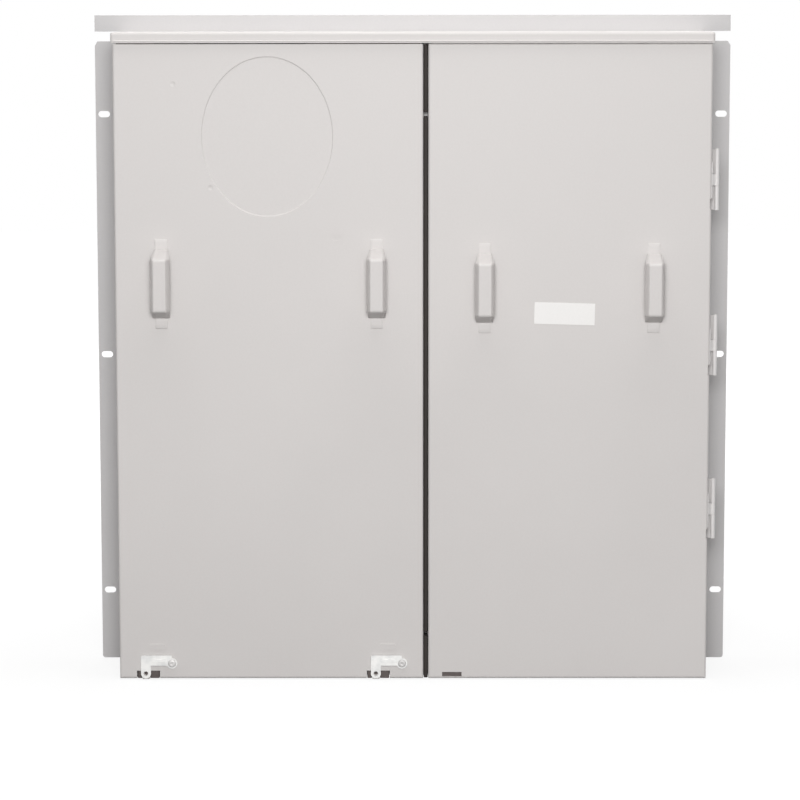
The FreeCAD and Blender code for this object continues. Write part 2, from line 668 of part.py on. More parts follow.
def make_rivet(pivot):
    """A shouldered rivet: the latch turns between its shoulder and its domed head."""
    shoulder = -LATCH_GAP + RIVET_END_PLAY
    head = -LATCH_GAP - LATCH_THICKNESS - RIVET_END_PLAY
    dome = RIVET_HEAD_HEIGHT / 2
    tail = SHEET + RIVET_TAIL_HEIGHT
    profile = [(0, head - RIVET_HEAD_HEIGHT), (RIVET_CROWN_RADIUS, head - RIVET_HEAD_HEIGHT)]
    profile += [(RIVET_HEAD_RADIUS, head - dome), (RIVET_HEAD_RADIUS, head)]
    profile += [(RIVET_RADIUS, head), (RIVET_RADIUS, shoulder)]
    profile += [(LATCH_BOSS_RADIUS, shoulder), (LATCH_BOSS_RADIUS, 0), (RIVET_RADIUS, 0)]
    profile += [(RIVET_RADIUS, SHEET), (RIVET_TAIL_RADIUS, SHEET), (RIVET_TAIL_RADIUS, tail), (0, tail)]
    corners = [point("xz", pivot + r, LATCH_Z, depth) for r, depth in profile]
    face = Part.Face(Part.makePolygon(corners + corners[:1]))
    return face.revolve(point("xz", pivot, LATCH_Z, 0), Y_AXIS, 360)


# Hinges: the body leaf has the outer knuckles, the door leaf the middle one

def knuckle_heights(z):
    half = HINGE_LENGTH / 2
    middle = HINGE_MIDDLE_KNUCKLE / 2
    return (z - half, z - middle, z + middle, z + half)


def make_body_leaf(z):
    bottom, low, high, top = knuckle_heights(z)
    plate_x = WALL_OUT + HINGE_LEAF / 2
    bend = D_HINGE + BODY_LEAF_SETBACK
    pieces = [box(WALL_OUT, WALL_OUT + HINGE_LEAF, bend, bend + BODY_LEAF_WIDTH, bottom, top)]
    for z0, z1 in ((bottom, low), (high, top)):
        path = [(plate_x, bend + HINGE_LEAF), (plate_x, bend), (HINGE_X, D_HINGE)]
        pieces.append(strip("xd", path, HINGE_LEAF, z0, z1))
        pieces.append(rod("xd", HINGE_X, D_HINGE, HINGE_BARREL_RADIUS, z0, z1))
    return join(pieces).cut(rod("xd", HINGE_X, D_HINGE, HINGE_PIN_RADIUS, bottom - 1, top + 1))


def make_door_leaf(z):
    bottom, low, high, top = knuckle_heights(z)
    low += HINGE_KNUCKLE_GAP
    high -= HINGE_KNUCKLE_GAP
    plate_x = DOOR_RIGHT + HINGE_LEAF / 2
    bend = D_HINGE - DOOR_LEAF_SETBACK
    half = DOOR_LEAF_HEIGHT / 2
    plate = box(DOOR_RIGHT, DOOR_RIGHT + HINGE_LEAF, bend - DOOR_LEAF_WIDTH, bend, z - half, z + half)
    path = [(plate_x, bend - HINGE_LEAF), (plate_x, bend), (HINGE_X, D_HINGE)]
    arm = strip("xd", path, HINGE_LEAF, low, high)
    barrel = rod("xd", HINGE_X, D_HINGE, HINGE_BARREL_RADIUS, low, high)
    bore = rod("xd", HINGE_X, D_HINGE, HINGE_PIN_RADIUS + RUNNING_CLEARANCE, bottom, top)
    return join([plate, arm, barrel]).cut(bore)


def make_hinge_pin(z):
    bottom, low, high, top = knuckle_heights(z)
    shank = rod("xd", HINGE_X, D_HINGE, HINGE_PIN_RADIUS, bottom, top)
    head = rod("xd", HINGE_X, D_HINGE, HINGE_PIN_HEAD_RADIUS, top, top + HINGE_PIN_HEAD_HEIGHT)
    return join([shank, head])


# Meter socket

def make_socket_bracket():
    half = BRACKET_HALF_WIDTH
    front = D_BRACKET_FRONT + SHEET / 2
    back = D_BACK - SHEET / 2
    x = OUTLINE_X
    path = [(x - half - BRACKET_FOOT, back), (x - half, back), (x - half, front)]
    path += [(x + half, front), (x + half, back), (x + half + BRACKET_FOOT, back)]
    return strip("xd", path, SHEET, OUTLINE_Z - BRACKET_HEIGHT / 2, OUTLINE_Z + BRACKET_HEIGHT / 2)


def make_socket_base():
    x = OUTLINE_X
    half_x = BASE_HALF_WIDTH
    half_z = BRACKET_HEIGHT / 2
    base = box(x - half_x, x + half_x, D_BASE_FRONT, D_BRACKET_FRONT, OUTLINE_Z - half_z, OUTLINE_Z + half_z)
    base = rounded(base, BASE_RADIUS, lambda edge: edge_is_along(edge, Y_AXIS))
    window = box(x - BASE_WINDOW_WIDTH / 2, x + BASE_WINDOW_WIDTH / 2, D_BASE_FRONT - 1, D_BRACKET_FRONT + 1,
                 OUTLINE_Z - BASE_WINDOW_HEIGHT / 2, OUTLINE_Z + BASE_WINDOW_HEIGHT / 2)
    base = base.cut(rounded(window, BASE_RADIUS, lambda edge: edge_is_along(edge, Y_AXIS)))
    barriers = []
    half = BARRIER_THICKNESS / 2
    for side in (-1, 1):
        z0, z1 = sorted((OUTLINE_Z + side * (BASE_WINDOW_HEIGHT / 2 + BARRIER_GAP),
                         OUTLINE_Z + side * half_z))
        barriers.append(box(x - half, x + half, D_BASE_FRONT - BARRIER_PROUD, D_BASE_FRONT, z0, z1))
    return join([base] + barriers)


def jaw_places():
    """The jaws in reading order, each with the side that its wire lug lies on."""
    for side_z in (1, -1):
        for side_x in (-1, 1):
            yield OUTLINE_X + side_x * JAW_SPACING_X / 2, OUTLINE_Z + side_z * JAW_SPACING_Z / 2, side_z


def make_jaw(x, z, side):
    """A spring jaw with two flared leaves on a strap that runs to its lug."""
    lug_end = OUTLINE_Z + side * (LUG_OFFSET_Z + LUG_HEIGHT / 2)
    z0, z1 = sorted((z - side * JAW_LENGTH / 2, lug_end))
    half = STRAP_WIDTH / 2
    pieces = [box(x - half, x + half, D_STRAP_FRONT, D_BASE_FRONT, z0, z1)]
    tip = D_STRAP_FRONT - JAW_PROUD
    for hand in (-1, 1):
        leaf_x = x + hand * (JAW_GAP + JAW_LEAF) / 2
        path = [(leaf_x, D_STRAP_FRONT), (leaf_x, tip + JAW_FLARE_LENGTH), (leaf_x + hand * JAW_FLARE, tip)]
        pieces.append(strip("xd", path, JAW_LEAF, z - JAW_LENGTH / 2, z + JAW_LENGTH / 2))
    return join(pieces)


def make_socket_lug(x, side):
    """A wire lug on its strap, with a bore for the wire along Z and a hole for its screw."""
    z = OUTLINE_Z + side * LUG_OFFSET_Z
    half = LUG_WIDTH / 2
    front = D_STRAP_FRONT - LUG_DEPTH
    lug = box(x - half, x + half, front, D_STRAP_FRONT, z - LUG_HEIGHT / 2, z + LUG_HEIGHT / 2)
    lug = rounded(lug, PAD_RADIUS, lambda edge: edge_is_along(edge, Z_AXIS)
                  and edge.CenterOfMass.y < FRONT_Y + front + 1)
    bore_depth = D_STRAP_FRONT - LUG_BORE_RADIUS - SHEET
    lug = lug.cut(rod("xd", x, bore_depth, LUG_BORE_RADIUS, z - LUG_HEIGHT, z + LUG_HEIGHT))
    return lug.cut(rod("xz", x, z, LUG_SCREW_RADIUS, front - 1, bore_depth))


def make_slotted_screw(x, z, radius, front, back):
    """A set screw that stands a little out of its hole, with a driver slot."""
    screw = rod("xz", x, z, radius, front - SCREW_PROUD, back)
    half = SCREW_SLOT_WIDTH / 2
    slot_front = front - SCREW_PROUD
    slot = box(x - radius, x + radius, slot_front - 1, slot_front + SCREW_SLOT_DEPTH, z - half, z + half)
    return screw.cut(slot)


def make_socket_lugs():
    return group([make_socket_lug(x, side) for x, z, side in jaw_places()])


def make_socket_lug_screws():
    front = D_STRAP_FRONT - LUG_DEPTH
    back = D_STRAP_FRONT - SHEET - 2 * LUG_BORE_RADIUS + 1
    return group([make_slotted_screw(x, OUTLINE_Z + side * LUG_OFFSET_Z, LUG_SCREW_RADIUS, front, back)
                  for x, z, side in jaw_places()])


# Terminal bars

def bar_screw_heights(z):
    first = z - (BAR_SCREWS - 1) / 2 * BAR_SCREW_PITCH
    return [first + step * BAR_SCREW_PITCH for step in range(BAR_SCREWS)]


def make_terminal_bar(x, z):
    half = BAR_WIDTH / 2
    back = D_BAR_FRONT + BAR_DEPTH
    bar = box(x - half, x + half, D_BAR_FRONT, back, z - BAR_HEIGHT / 2, z + BAR_HEIGHT / 2)
    middle = (D_BAR_FRONT + back) / 2
    for height in bar_screw_heights(z):
        bar = bar.cut(rod("dz", middle, height, BAR_BORE_RADIUS, x - half - 1, x + half + 1))
        bar = bar.cut(rod("xz", x, height, BAR_SCREW_RADIUS, D_BAR_FRONT - 1, middle))
    return bar


def make_bar_screws(x, z):
    back = D_BAR_FRONT + BAR_DEPTH / 2 - BAR_BORE_RADIUS + 1
    return group([make_slotted_screw(x, height, BAR_SCREW_RADIUS, D_BAR_FRONT, back)
                  for height in bar_screw_heights(z)])


def make_bar_posts(x, z):
    back = D_BAR_FRONT + BAR_DEPTH
    return group([rod("xz", x, z + side * BAR_POST_SPACING / 2, BAR_POST_RADIUS, back, D_BACK)
                  for side in (-1, 1)])


# Breaker on its rail and mounting panel

def post_places():
    half_x = MOUNTING_PANEL_WIDTH / 2 - POST_INSET
    half_z = MOUNTING_PANEL_HEIGHT / 2 - POST_INSET
    return [(BREAKER_X + sx * half_x, BREAKER_Z + sz * half_z) for sx in (-1, 1) for sz in (-1, 1)]


def make_mounting_panel():
    half_x = MOUNTING_PANEL_WIDTH / 2
    half_z = MOUNTING_PANEL_HEIGHT / 2
    panel = box(BREAKER_X - half_x, BREAKER_X + half_x, D_MOUNTING_PANEL,
                D_MOUNTING_PANEL + MOUNTING_PANEL_THICKNESS, BREAKER_Z - half_z, BREAKER_Z + half_z)
    return rounded(panel, BASE_RADIUS, lambda edge: edge_is_along(edge, Y_AXIS))


def make_panel_posts():
    start = D_MOUNTING_PANEL + MOUNTING_PANEL_THICKNESS
    return group([rod("xz", x, z, POST_RADIUS, start, D_BACK) for x, z in post_places()])


def make_panel_nuts():
    nuts = []
    for x, z in post_places():
        corners = [(x + NUT_RADIUS * math.cos(math.radians(60 * step)),
                    z + NUT_RADIUS * math.sin(math.radians(60 * step))) for step in range(6)]
        nuts.append(prism("xz", corners, D_MOUNTING_PANEL - NUT_HEIGHT, D_MOUNTING_PANEL))
    return group(nuts)


def make_rail():
    thick = SHEET / 2
    front = D_RAIL_FRONT + thick
    back = D_MOUNTING_PANEL - thick
    rim = RAIL_WIDTH / 2
    web = RAIL_CHANNEL_WIDTH / 2
    path = [(front, BREAKER_Z - rim), (front, BREAKER_Z - web), (back, BREAKER_Z - web)]
    path += [(back, BREAKER_Z + web), (front, BREAKER_Z + web), (front, BREAKER_Z + rim)]
    return strip("dz", path, SHEET, BREAKER_X - RAIL_LENGTH / 2, BREAKER_X + RAIL_LENGTH / 2)


def make_breaker_case():
    """A two-pole case with a stepped front, a rail groove and a round pocket for the toggle."""
    end = BREAKER_HEIGHT / 2
    shoulder = BREAKER_SHOULDER / 2
    nose = BREAKER_NOSE / 2
    front = D_BREAKER_FRONT
    half_profile = [(front, nose), (front + BREAKER_STEP, nose + BREAKER_CHAMFER)]
    half_profile += [(front + BREAKER_STEP, shoulder), (front + 2 * BREAKER_STEP, shoulder)]
    half_profile += [(front + 2 * BREAKER_STEP, end), (D_BREAKER_BACK, end)]
    outline = [(depth, BREAKER_Z + z) for depth, z in half_profile]
    outline += [(depth, BREAKER_Z - z) for depth, z in reversed(half_profile)]
    half = BREAKER_WIDTH / 2
    case = prism("dz", outline, BREAKER_X - half, BREAKER_X + half)
    groove = RAIL_WIDTH / 2 + RAIL_FIT_GAP
    case = case.cut(box(BREAKER_X - half - 1, BREAKER_X + half + 1, D_RAIL_FRONT, D_BREAKER_BACK + 1,
                        BREAKER_Z - groove, BREAKER_Z + groove))
    pocket = TOGGLE_WIDTH / 2 + TOGGLE_GAP
    case = case.cut(rod("dz", D_TOGGLE, BREAKER_Z, TOGGLE_DRUM_RADIUS + TOGGLE_GAP,
                        BREAKER_X - pocket, BREAKER_X + pocket))
    case = case.cut(make_toggle_slot(pocket))
    trunnion = TOGGLE_WIDTH / 2 + TRUNNION_LENGTH + TOGGLE_GAP
    return case.cut(rod("dz", D_TOGGLE, BREAKER_Z, TRUNNION_RADIUS + RUNNING_CLEARANCE,
                        BREAKER_X - trunnion, BREAKER_X + trunnion))


def make_toggle_slot(pocket):
    """The wedge that the toggle sweeps through the case's front."""
    angle = math.radians(TOGGLE_SLOT_ANGLE)
    reach = TOGGLE_PIVOT_DEPTH + 1
    rise = reach * math.tan(angle)
    wedge = [(D_TOGGLE, BREAKER_Z)] + [(D_TOGGLE - reach, BREAKER_Z + hand * rise) for hand in (-1, 1)]
    return prism("dz", wedge, BREAKER_X - pocket, BREAKER_X + pocket)


def make_toggle():
    """The rocker drum and its lever, which rests pointing down, in the off position."""
    half = TOGGLE_WIDTH / 2
    drum = rod("dz", D_TOGGLE, BREAKER_Z, TOGGLE_DRUM_RADIUS, BREAKER_X - half, BREAKER_X + half)
    low = BREAKER_Z - TOGGLE_THICKNESS / 2
    lever = box(BREAKER_X - half, BREAKER_X + half, D_TOGGLE - TOGGLE_REACH, D_TOGGLE,
                low, low + TOGGLE_THICKNESS)
    lever = rounded(lever, TOGGLE_THICKNESS / 3, lambda edge: edge_is_along(edge, X_AXIS)
                    and edge.CenterOfMass.y < FRONT_Y + D_BREAKER_FRONT)
    lever.rotate(point("dz", D_TOGGLE, BREAKER_Z, BREAKER_X), X_AXIS, TOGGLE_SWING)
    pivot = half + TRUNNION_LENGTH
    trunnion = rod("dz", D_TOGGLE, BREAKER_Z, TRUNNION_RADIUS, BREAKER_X - pivot, BREAKER_X + pivot)
    return join([drum, lever, trunnion])


def breaker_lug_places():
    for side_z in (1, -1):
        for side_x in (-1, 1):
            z = BREAKER_Z + side_z * (BREAKER_HEIGHT + BREAKER_LUG_HEIGHT) / 2
            yield BREAKER_X + side_x * POLE_SPACING / 2, z


def make_breaker_lugs():
    lugs = []
    half = BREAKER_LUG_WIDTH / 2
    middle = D_BREAKER_LUG + BREAKER_LUG_DEPTH / 2
    for x, z in breaker_lug_places():
        z0 = z - BREAKER_LUG_HEIGHT / 2
        z1 = z + BREAKER_LUG_HEIGHT / 2
        lug = box(x - half, x + half, D_BREAKER_LUG, D_BREAKER_LUG + BREAKER_LUG_DEPTH, z0, z1)
        lug = lug.cut(rod("xd", x, middle, BREAKER_LUG_BORE, z0 - 1, z1 + 1))
        lugs.append(lug.cut(rod("xz", x, z, LUG_SCREW_RADIUS, D_BREAKER_LUG - 1, middle)))
    return group(lugs)


def make_breaker_lug_screws():
    back = D_BREAKER_LUG + BREAKER_LUG_DEPTH / 2 - BREAKER_LUG_BORE + 1
    return group([make_slotted_screw(x, z, LUG_SCREW_RADIUS, D_BREAKER_LUG, back)
                  for x, z in breaker_lug_places()])


# All the pieces by name

def make_parts():
    cover_handles = [COVER_LEFT + COVER_HANDLE_INSETS[0], COVER_RIGHT - COVER_HANDLE_INSETS[1]]
    door_handles = [DOOR_LEFT + DOOR_HANDLE_INSETS[0], DOOR_RIGHT - DOOR_HANDLE_INSETS[1]]
    parts = {
        "back_panel": make_back_panel(),
        "casing": make_casing(),
        "roof_hood": make_roof_hood(),
        "partition": make_partition(),
        "mullion": make_mullion(),
        "mullion_screws": make_mullion_screws(),
        "meter_cover": make_meter_cover(),
        "hinged_door": make_door(),
        "door_label": make_label(),
        "socket_bracket": make_socket_bracket(),
        "socket_base": make_socket_base(),
        "socket_lugs": make_socket_lugs(),
        "socket_lug_screws": make_socket_lug_screws(),
        "neutral_bar": make_terminal_bar(NEUTRAL_BAR_X, NEUTRAL_BAR_Z),
        "neutral_bar_screws": make_bar_screws(NEUTRAL_BAR_X, NEUTRAL_BAR_Z),
        "neutral_bar_posts": make_bar_posts(NEUTRAL_BAR_X, NEUTRAL_BAR_Z),
        "ground_bar": make_terminal_bar(GROUND_BAR_X, GROUND_BAR_Z),
        "ground_bar_screws": make_bar_screws(GROUND_BAR_X, GROUND_BAR_Z),
        "ground_bar_posts": make_bar_posts(GROUND_BAR_X, GROUND_BAR_Z),
        "mounting_panel": make_mounting_panel(),
        "panel_posts": make_panel_posts(),
        "panel_nuts": make_panel_nuts(),
        "breaker_rail": make_rail(),
        "breaker_case": make_breaker_case(),
        "breaker_toggle": make_toggle(),
        "breaker_lugs": make_breaker_lugs(),
        "breaker_lug_screws": make_breaker_lug_screws(),
    }
    for name, x in zip(("left", "right"), cover_handles):
        parts["cover_handle_" + name] = make_handle(x, COVER_HANDLE_Z)
    for name, x in zip(("left", "right"), door_handles):
        parts["door_handle_" + name] = make_handle(x, DOOR_HANDLE_Z)
    for name, pivot in zip(("left", "right"), LATCH_PIVOTS):
        parts["latch_" + name] = make_latch(pivot)
        parts["latch_rivet_" + name] = make_rivet(pivot)
    for name, z in zip(("upper", "middle", "lower"), HINGE_HEIGHTS):
        parts["hinge_body_leaf_" + name] = make_body_leaf(z)
        parts["hinge_door_leaf_" + name] = make_door_leaf(z)
        parts["hinge_pin_" + name] = make_hinge_pin(z)
    for name, (x, z, side) in zip(("line_left", "line_right", "load_left", "load_right"), jaw_places()):
        parts["meter_jaw_" + name] = make_jaw(x, z, side)
    return parts


def main():
    os.makedirs("parts", exist_ok=True)
    for name, shape in make_parts().items():
        if not shape.isValid():
            print("not valid:", name)
        shape.exportStep("parts/%s.step" % name)
        bounds = shape.BoundBox
        print("%-26s %2d solids %9.0f mm3  x %.1f..%.1f  y %.1f..%.1f  z %.1f..%.1f" % (
            name, len(shape.Solids), shape.Volume, bounds.XMin, bounds.XMax,
            bounds.YMin, bounds.YMax, bounds.ZMin, bounds.ZMax))


main()
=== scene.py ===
# %% [markdown]
# An electric meter box in folded grey sheet steel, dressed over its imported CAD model.
# The CAD gives every sheet its true size and place, so here we only add what CAD can't:
# the pressed and rolled small parts, the paint and the light.

# %% Load the frame
import json
import math
import bpy
import numpy as np
from mathutils import Euler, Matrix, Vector


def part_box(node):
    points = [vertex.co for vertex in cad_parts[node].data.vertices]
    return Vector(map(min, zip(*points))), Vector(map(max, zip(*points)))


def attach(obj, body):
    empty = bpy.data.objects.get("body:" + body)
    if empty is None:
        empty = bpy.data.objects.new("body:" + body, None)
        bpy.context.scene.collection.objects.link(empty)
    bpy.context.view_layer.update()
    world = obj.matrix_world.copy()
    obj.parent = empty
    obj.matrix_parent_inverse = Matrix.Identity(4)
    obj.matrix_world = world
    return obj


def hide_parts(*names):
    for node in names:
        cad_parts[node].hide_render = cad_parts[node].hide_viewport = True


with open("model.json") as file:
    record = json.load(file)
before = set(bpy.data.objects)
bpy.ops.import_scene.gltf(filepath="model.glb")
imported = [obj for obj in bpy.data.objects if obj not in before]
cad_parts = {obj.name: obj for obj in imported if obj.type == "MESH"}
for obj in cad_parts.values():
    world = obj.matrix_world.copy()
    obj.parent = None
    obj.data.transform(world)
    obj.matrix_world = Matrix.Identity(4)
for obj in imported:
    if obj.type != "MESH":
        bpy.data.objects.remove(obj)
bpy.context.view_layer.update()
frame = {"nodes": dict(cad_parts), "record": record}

nodes = frame["nodes"]

# %% [markdown]
# The picture looks almost straight at the covers, from a little above, with a long lens.
# The camera comes first, because everything after it is judged through it. Its place and
# lens were worked out from the corners of the covers, the roof and the flanges.

# %% Camera
CAMERA_PLACE = (-0.0034, -3.3291, 0.7282)
CAMERA_YAW = math.radians(-0.178)
CAMERA_PITCH = math.radians(-7.218)
CAMERA_ROLL = math.radians(0.052)
FIELD_OF_VIEW = math.radians(15.092)

lens = bpy.data.cameras.new("camera")
lens.sensor_fit = "HORIZONTAL"
lens.angle = FIELD_OF_VIEW
lens.clip_start = 0.05
camera = bpy.data.objects.new("camera", lens)
camera.location = CAMERA_PLACE
camera.rotation_euler = Euler((math.pi / 2 + CAMERA_PITCH, CAMERA_ROLL, -CAMERA_YAW), "XYZ")
bpy.context.scene.collection.objects.link(camera)
bpy.context.scene.camera = camera
bpy.context.scene.view_settings.view_transform = "Standard"
print("camera at", CAMERA_PLACE)

# %% [markdown]
# The box stands in a white photographer's cove. The world gives light from everywhere, as
# white walls do, and to the lens, to gloss and to glass it shows pure white.

# %% World
WORLD_LIGHT = 0.175
WHITE = (1, 1, 1, 1)

world = bpy.data.worlds.new("white_cove")
bpy.context.scene.world = world
world.use_nodes = True
tree = world.node_tree
tree.nodes.clear()


def node_in(tree, kind, **sockets):
    """Add a shader node and set its plain values. Returns the node."""
    node = tree.nodes.new(kind)
    for name, value in sockets.items():
        node.inputs[name.replace("_", " ")].default_value = value
    return node


def math_in(tree, operation, first, second):
    """One sum of two values; each is a socket or a plain number."""
    node = tree.nodes.new("ShaderNodeMath")
    node.operation = operation
    for slot, value in enumerate((first, second)):
        if isinstance(value, (int, float)):
            node.inputs[slot].default_value = value
        else:
            tree.links.new(value, node.inputs[slot])
    return node.outputs[0]


def end_with(tree, kind, lit, seen):
    """Link one shader for the light's own rays, and one for rays from the lens, gloss or glass."""
    rays = tree.nodes.new("ShaderNodeLightPath").outputs
    either = math_in(tree, "MAXIMUM", rays["Is Camera Ray"], rays["Is Glossy Ray"])
    choose = tree.nodes.new("ShaderNodeMixShader")
    tree.links.new(math_in(tree, "MAXIMUM", either, rays["Is Transmission Ray"]), choose.inputs[0])
    tree.links.new(lit.outputs[0], choose.inputs[1])
    tree.links.new(seen.outputs[0], choose.inputs[2])
    tree.links.new(choose.outputs[0], tree.nodes.new(kind).inputs["Surface"])


lit = node_in(tree, "ShaderNodeBackground", Color=WHITE, Strength=WORLD_LIGHT)
seen = node_in(tree, "ShaderNodeBackground", Color=WHITE, Strength=1.0)
end_with(tree, "ShaderNodeOutputWorld", lit, seen)
print("world light", WORLD_LIGHT)

# %% [markdown]
# The shadows of the handles and the dark side flanges tell where the light was. A wide panel
# high behind the lens lights the fronts and leaves what faces down dark. A weak soft lamp
# nearer the box, a little above the roof, softens that. A panel overhead brightens all that
# faces up, and the others fill the sides and the back.

# %% Lamps
def softbox(name, place, target, width, height, power):
    """A rectangular lamp at a place, turned so that it shines at its target."""
    lamp = bpy.data.lights.new(name, "AREA")
    lamp.shape = "RECTANGLE"
    lamp.size = width
    lamp.size_y = height
    lamp.energy = power
    thing = bpy.data.objects.new(name, lamp)
    thing.location = place
    thing.rotation_euler = (Vector(target) - Vector(place)).to_track_quat("-Z", "Y").to_euler()
    thing.visible_camera = False
    bpy.context.scene.collection.objects.link(thing)


# Each row says name, place, target, width and height in metres, and power in watts.
LAMPS = [
    ("key", (0.0, -1.8, 0.85), (0.0, 0.0, 0.2), 0.7, 0.5, 10.0),
    ("front_panel", (0.0, -4.4, 1.6), (0.0, 0.0, 0.2), 1.4, 0.8, 97.0),
    ("overhead", (0.0, -0.15, 2.5), (0.0, 0.0, 0.6), 1.8, 1.2, 30.0),
    ("left_fill", (-2.6, 0.5, 0.9), (0.0, 0.0, 0.35), 1.4, 1.4, 7.0),
    ("right_fill", (2.6, 0.5, 0.9), (0.0, 0.0, 0.35), 1.4, 1.4, 7.0),
    ("back_fill", (0.0, 3.0, 1.4), (0.0, 0.0, 0.35), 2.0, 1.6, 30.0),
]
for row in LAMPS:
    softbox(*row)
print(len(LAMPS), "lamps")

# %% [markdown]
# The floor is plain. Near the box it takes the soft shadow; farther off it glows a little
# more to the lens, until it melts into the white background without a line between them.

# %% Floor
FLOOR_SIZE = 14.0
FLOOR_DROP = 0.0005
BOARD_COLOUR = (0.18, 0.18, 0.18, 1)
GLOW_NEAR, GLOW_FAR = 0.45, 1.6
GLOW_LOW = 0.83


def surface(name, points, faces):
    """A mesh object from an array of points and a list of faces, linked to the scene."""
    mesh = bpy.data.meshes.new(name)
    mesh.from_pydata(points.tolist(), [], faces)
    thing = bpy.data.objects.new(name, mesh)
    bpy.context.scene.collection.objects.link(thing)
    return thing


half = FLOOR_SIZE / 2
corners = np.array([[-half, -half, 0], [half, -half, 0], [half, half, 0], [-half, half, 0]])
floor = surface("floor", corners - [0, 0, FLOOR_DROP], [[0, 1, 2, 3]])
board = bpy.data.materials.new("white_board")
board.use_nodes = True
tree = board.node_tree
tree.nodes.clear()
matt = node_in(tree, "ShaderNodeBsdfDiffuse", Color=BOARD_COLOUR)
glow = node_in(tree, "ShaderNodeEmission", Color=WHITE)
away = tree.nodes.new("ShaderNodeVectorMath")
away.operation = "LENGTH"
tree.links.new(tree.nodes.new("ShaderNodeTexCoord").outputs["Object"], away.inputs[0])
reach = node_in(tree, "ShaderNodeMapRange", From_Min=GLOW_NEAR, From_Max=GLOW_FAR,
                To_Min=GLOW_LOW, To_Max=1.0)
tree.links.new(away.outputs["Value"], reach.inputs["Value"])
tree.links.new(reach.outputs["Result"], glow.inputs["Strength"])
add = tree.nodes.new("ShaderNodeAddShader")
tree.links.new(matt.outputs[0], add.inputs[0])
tree.links.new(glow.outputs[0], add.inputs[1])
end_with(tree, "ShaderNodeOutputMaterial", matt, add)
floor.data.materials.append(board)
print("floor", FLOOR_SIZE, "m wide")

# %% [markdown]
# Powder coat is sprayed on dry and baked. It flows out into a skin with a very fine
# pebble, and its gloss and tone wander a little where the coat is thicker. All the steel
# of the box wears it, so it is one node group, placed in each paint with its own values.

# %% Node group: powder coat
CLOUDS_PER_METRE, SPECKS_PER_METRE = 5.0, 420.0
CLOUD_SHARE, SPECK_SHARE = 0.7, 0.3
CLOUD_LOW, CLOUD_HIGH = 0.35, 0.65
PEBBLE_DISTANCE = 0.00025


def new_group(name, inputs, outputs):
    """An empty shader node group with named inputs (name, kind, value) and outputs."""
    group = bpy.data.node_groups.new(name, "ShaderNodeTree")
    add_socket = group.interface.new_socket
    for title, kind, value in inputs:
        socket = add_socket(name=title, in_out="INPUT", socket_type="NodeSocket" + kind)
        socket.default_value = value
    for title, kind in outputs:
        add_socket(name=title, in_out="OUTPUT", socket_type="NodeSocket" + kind)
    return group, group.nodes.new("NodeGroupInput"), group.nodes.new("NodeGroupOutput")


def noise_in(tree, place, scale, detail):
    """A noise pattern read at a place. Returns its grey value, about 0.5 on average."""
    noise = node_in(tree, "ShaderNodeTexNoise", Scale=scale, Detail=detail)
    tree.links.new(place, noise.inputs["Vector"])
    return noise.outputs["Fac"]


def share_in(tree, value, low, high):
    """How far a value is on its way from low to high: 0 to 1, held at the ends."""
    stretch = node_in(tree, "ShaderNodeMapRange", From_Min=low, From_Max=high)
    tree.links.new(value, stretch.inputs["Value"])
    return stretch.outputs["Result"]


def mix_in(tree, factor, first, second):
    """Blend two colours by a factor. Slots 0, 6 and 7 are the factor and the two colours."""
    node = tree.nodes.new("ShaderNodeMix")
    node.data_type = "RGBA"
    for slot, value in ((0, factor), (6, first), (7, second)):
        tree.links.new(value, node.inputs[slot])
    return node.outputs[2]


def gloss_out(group, given, result, cloud, high):
    """Roughness goes from low to high as the cloud noise goes from CLOUD_LOW to a high value."""
    gloss = node_in(group, "ShaderNodeMapRange", From_Min=CLOUD_LOW, From_Max=high)
    group.links.new(cloud, gloss.inputs["Value"])
    group.links.new(given.outputs["Roughness low"], gloss.inputs["To Min"])
    group.links.new(given.outputs["Roughness high"], gloss.inputs["To Max"])
    group.links.new(gloss.outputs["Result"], result.inputs["Roughness"])


def bump_out(group, result, height, strength, distance):
    """A normal that leans with a height pattern; the distance is in metres."""
    bump = node_in(group, "ShaderNodeBump", Distance=distance)
    group.links.new(strength, bump.inputs["Strength"])
    group.links.new(height, bump.inputs["Height"])
    group.links.new(bump.outputs["Normal"], result.inputs["Normal"])


def powder_coat_group():
    """Pebble height = fine noise; tone = slow noise plus specks; gloss follows the slow noise."""
    group, given, result = new_group(
        "powder_coat",
        [("Colour", "Color", (0.6, 0.6, 0.6, 1)), ("Shade", "Color", (0.5, 0.5, 0.5, 1)),
         ("Pebble per metre", "Float", 900.0), ("Pebble height", "Float", 0.1),
         ("Roughness low", "Float", 0.35), ("Roughness high", "Float", 0.45)],
        [("Colour", "Color"), ("Roughness", "Float"), ("Normal", "Vector")])
    place = group.nodes.new("ShaderNodeTexCoord").outputs["Object"]
    cloud = noise_in(group, place, CLOUDS_PER_METRE, 3.0)
    speck = noise_in(group, place, SPECKS_PER_METRE, 2.0)
    blend = math_in(group, "ADD", math_in(group, "MULTIPLY", cloud, CLOUD_SHARE),
                    math_in(group, "MULTIPLY", speck, SPECK_SHARE))
    tone = share_in(group, blend, CLOUD_LOW, CLOUD_HIGH)
    colour = mix_in(group, tone, given.outputs["Shade"], given.outputs["Colour"])
    group.links.new(colour, result.inputs["Colour"])
    gloss_out(group, given, result, cloud, CLOUD_HIGH)
    pebble = node_in(group, "ShaderNodeTexNoise", Detail=1.0)
    group.links.new(place, pebble.inputs["Vector"])
    group.links.new(given.outputs["Pebble per metre"], pebble.inputs["Scale"])
    strength = given.outputs["Pebble height"]
    bump_out(group, result, pebble.outputs["Fac"], strength, PEBBLE_DISTANCE)
    return group


POWDER_COAT = powder_coat_group()
print("node group", POWDER_COAT.name)

# %% [markdown]
# Plated and bare metal parts share another look: fine rubbing marks in one direction and a
# dull bloom in patches. A second group gives those for zinc, aluminium and brass alike.

